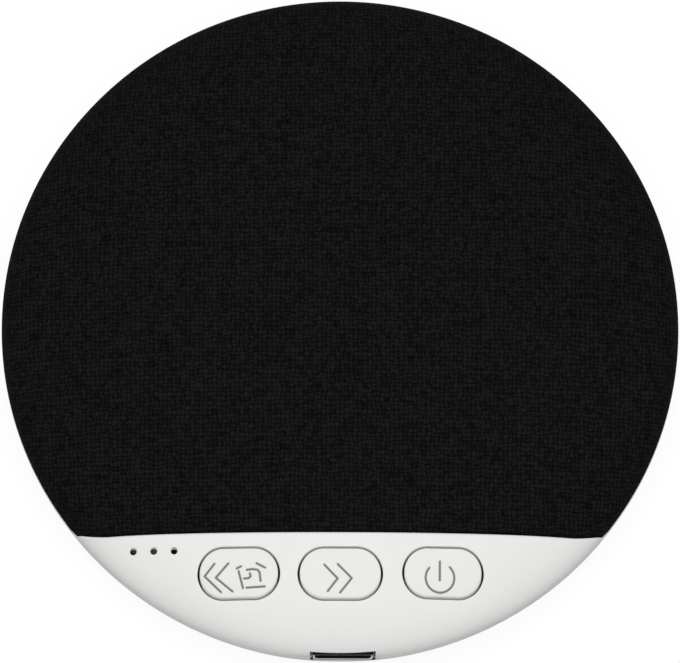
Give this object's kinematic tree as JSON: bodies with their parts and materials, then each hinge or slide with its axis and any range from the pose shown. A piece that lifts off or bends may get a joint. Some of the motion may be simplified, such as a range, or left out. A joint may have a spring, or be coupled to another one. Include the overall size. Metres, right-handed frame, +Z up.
{
  "type": "under-mattress speaker",
  "caption": "Flat round under-mattress speaker: pebble-shaped two-part case, cloth-covered grille, white control panel with pill keys, charging port and a sprung cone driver.",
  "frame": {"origin": "On the resting plane, under the middle of the round case", "axes": "+Z up through the crown, the control panel and charging port face -Y, +X to the right seen from the panel side"},
  "size_m": [0.0834, 0.0831, 0.016],
  "materials": {
    "shell_white": "satin moulded ABS",
    "key_white": "satin moulded ABS",
    "frame_black": "moulded ABS",
    "cloth_black": "plain weave polyester",
    "rubber_grey": "matt silicone rubber",
    "screw_steel": "zinc plated",
    "board_green": "solder mask over glass epoxy",
    "switch_black": "moulded nylon",
    "socket_steel": "nickel plated sheet",
    "contact_gold": "gold flash",
    "lamp_yellow": "epoxy lens",
    "guide_clear": "clear acrylic",
    "chip_black": "moulded epoxy",
    "crystal_can": "satin lid",
    "coil_ferrite": "sintered ferrite",
    "capacitor_tan": "ceramic",
    "cell_foil": "laminated foil",
    "foam_grey": "closed cell foam",
    "plug_ivory": "nylon",
    "lead_red": "PVC insulation",
    "lead_black": "PVC insulation",
    "basket_steel": "black passivated pressed steel",
    "cup_zinc": "zinc plated",
    "magnet_nickel": "nickel plated",
    "terminal_phenolic": "phenolic board with solder",
    "surround_rubber": "butyl rubber",
    "cone_paper": "coated paper",
    "coil_copper": "enamelled copper wire"
  },
  "bodies": {
    "housing": {"bottom_shell": "shell_white", "control_panel": "shell_white", "grille_frame": "frame_black", "cloth_cover": "cloth_black", "rubber_feet": "rubber_grey", "case_screws": "screw_steel", "panel_screws": "screw_steel", "main_board": "board_green", "board_screws": "screw_steel", "switch_housings": "switch_black", "usb_shell": "socket_steel", "usb_tongue": "switch_black", "usb_contacts": "contact_gold", "status_leds": "lamp_yellow", "light_guide": "guide_clear", "microphone": "contact_gold", "microphone_boot": "rubber_grey", "wireless_chip": "chip_black", "amplifier_chip": "chip_black", "clock_crystal": "crystal_can", "power_coils": "coil_ferrite", "chip_capacitors": "capacitor_tan", "battery_cell": "cell_foil", "battery_pad": "foam_grey", "battery_socket": "plug_ivory", "battery_plug": "plug_ivory", "battery_lead_red": "lead_red", "battery_lead_black": "lead_black", "driver_basket": "basket_steel", "driver_magnet_cup": "cup_zinc", "driver_magnet": "magnet_nickel", "driver_top_plate": "cup_zinc", "driver_gasket": "foam_grey", "driver_screws": "screw_steel", "driver_terminal": "terminal_phenolic", "speaker_lead_red": "lead_red", "speaker_lead_black": "lead_black", "cone_surround": "surround_rubber"},
    "cone_assembly": {"speaker_cone": "cone_paper", "dust_cap": "cone_paper", "voice_coil": "coil_copper"},
    "back_button": {"back_key": "key_white", "back_plunger": "plug_ivory"},
    "forward_button": {"forward_key": "key_white", "forward_plunger": "plug_ivory"},
    "power_button": {"power_key": "key_white", "power_plunger": "plug_ivory"}
  },
  "joints": [
    {"name": "back_press", "type": "slide", "parent": "housing", "child": "back_button", "axis": [0, 0, -1], "range_m": [0, 0.00035], "stiffness_N_per_m": 2500},
    {"name": "forward_press", "type": "slide", "parent": "housing", "child": "forward_button", "axis": [0, 0, -1], "range_m": [0, 0.00035], "stiffness_N_per_m": 2500},
    {"name": "power_press", "type": "slide", "parent": "housing", "child": "power_button", "axis": [0, 0, -1], "range_m": [0, 0.00035], "stiffness_N_per_m": 2500},
    {"name": "cone_stroke", "type": "slide", "parent": "housing", "child": "cone_assembly", "axis": [0, 0, 1], "range_m": [-0.0005, 0.0005], "stiffness_N_per_m": 1500, "deforming": ["cone_surround"]}
  ]
}
